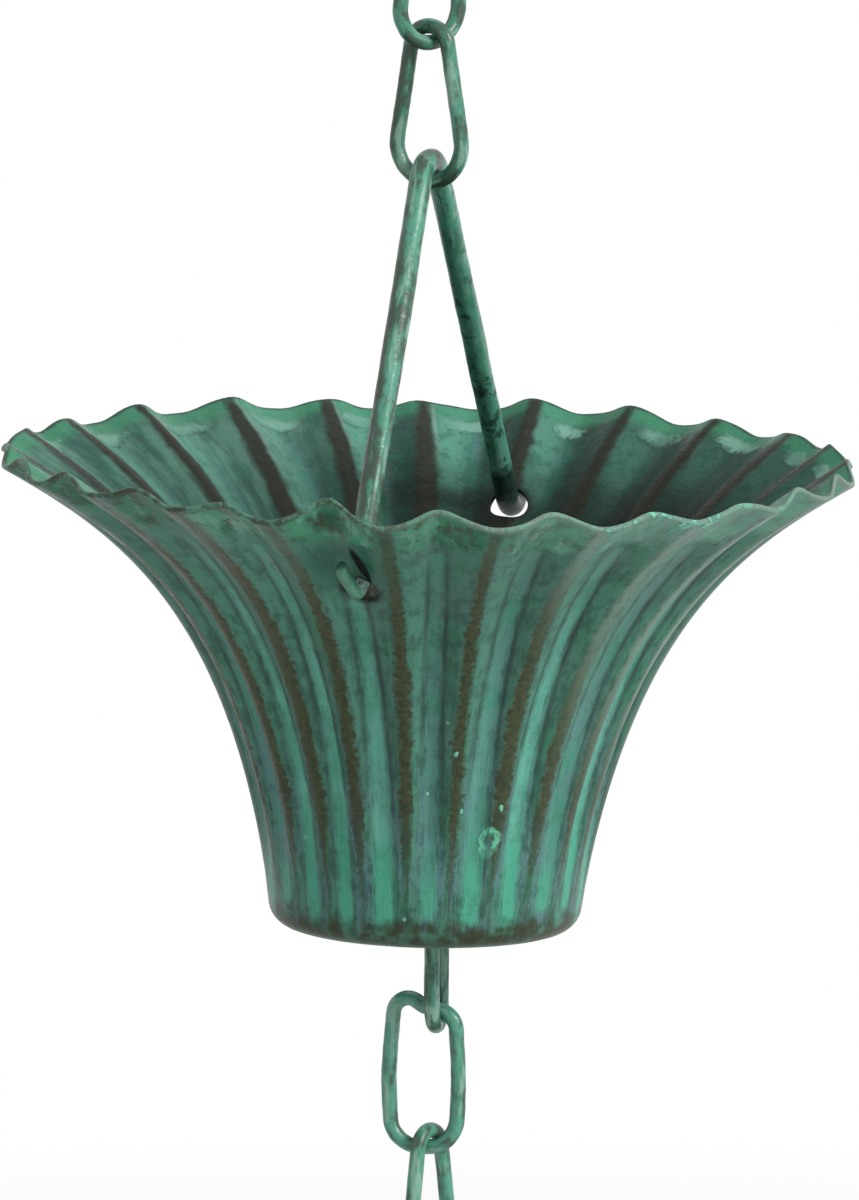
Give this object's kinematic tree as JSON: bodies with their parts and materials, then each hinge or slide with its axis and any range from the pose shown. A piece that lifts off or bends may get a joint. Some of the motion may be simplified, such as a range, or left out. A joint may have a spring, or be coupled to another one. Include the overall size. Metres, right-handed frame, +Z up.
{
  "type": "rain chain",
  "caption": "Run of a hanging rain chain: bent wire links, a wire bail, a fluted trumpet cup with a drain, and a hairpin eye under it for the next run.",
  "frame": {"origin": "the underside of the top link's upper wire, where the chain bears on its hook, on the chain's axis", "axes": "+Z up along the chain's axis, Y through the two bail holes of the cup, X square to both"},
  "size_m": [0.1101, 0.11, 0.1846],
  "materials": {
    "patina_cup": "brushed verdigris paint over dark brown, worn on the ridges",
    "patina_wire": "mottled verdigris paint over dark brown wire"
  },
  "bodies": {
    "top_link": {"top_link": "patina_wire"},
    "upper_link": {"upper_link": "patina_wire"},
    "bail": {"bail": "patina_wire"},
    "cup": {"cup": "patina_cup", "base_eye": "patina_wire"},
    "lower_link": {"lower_link": "patina_wire"},
    "end_link": {"end_link": "patina_wire"}
  },
  "joints": [
    {"name": "upper_link_swing", "type": "hinge", "parent": "top_link", "child": "upper_link", "pos_m": [0, 0, -0.0192], "axis": [0.6018, 0.7986, 0], "range_deg": [-60, 60]},
    {"name": "bail_swing", "type": "hinge", "parent": "upper_link", "child": "bail", "pos_m": [0, 0, -0.0372], "axis": [0.9613, -0.2756, 0], "range_deg": [-60, 60]},
    {"name": "cup_swing", "type": "hinge", "parent": "bail", "child": "cup", "pos_m": [0.00053, 0, -0.0838], "axis": [0, 1, 0], "range_deg": [-22, 22]},
    {"name": "lower_link_swing", "type": "hinge", "parent": "cup", "child": "lower_link", "pos_m": [0.00095, 0, -0.1476], "axis": [0, 1, 0], "range_deg": [-60, 60]},
    {"name": "end_link_swing", "type": "hinge", "parent": "lower_link", "child": "end_link", "pos_m": [0, 0, -0.1636], "axis": [1, 0, 0], "range_deg": [-60, 60]}
  ]
}
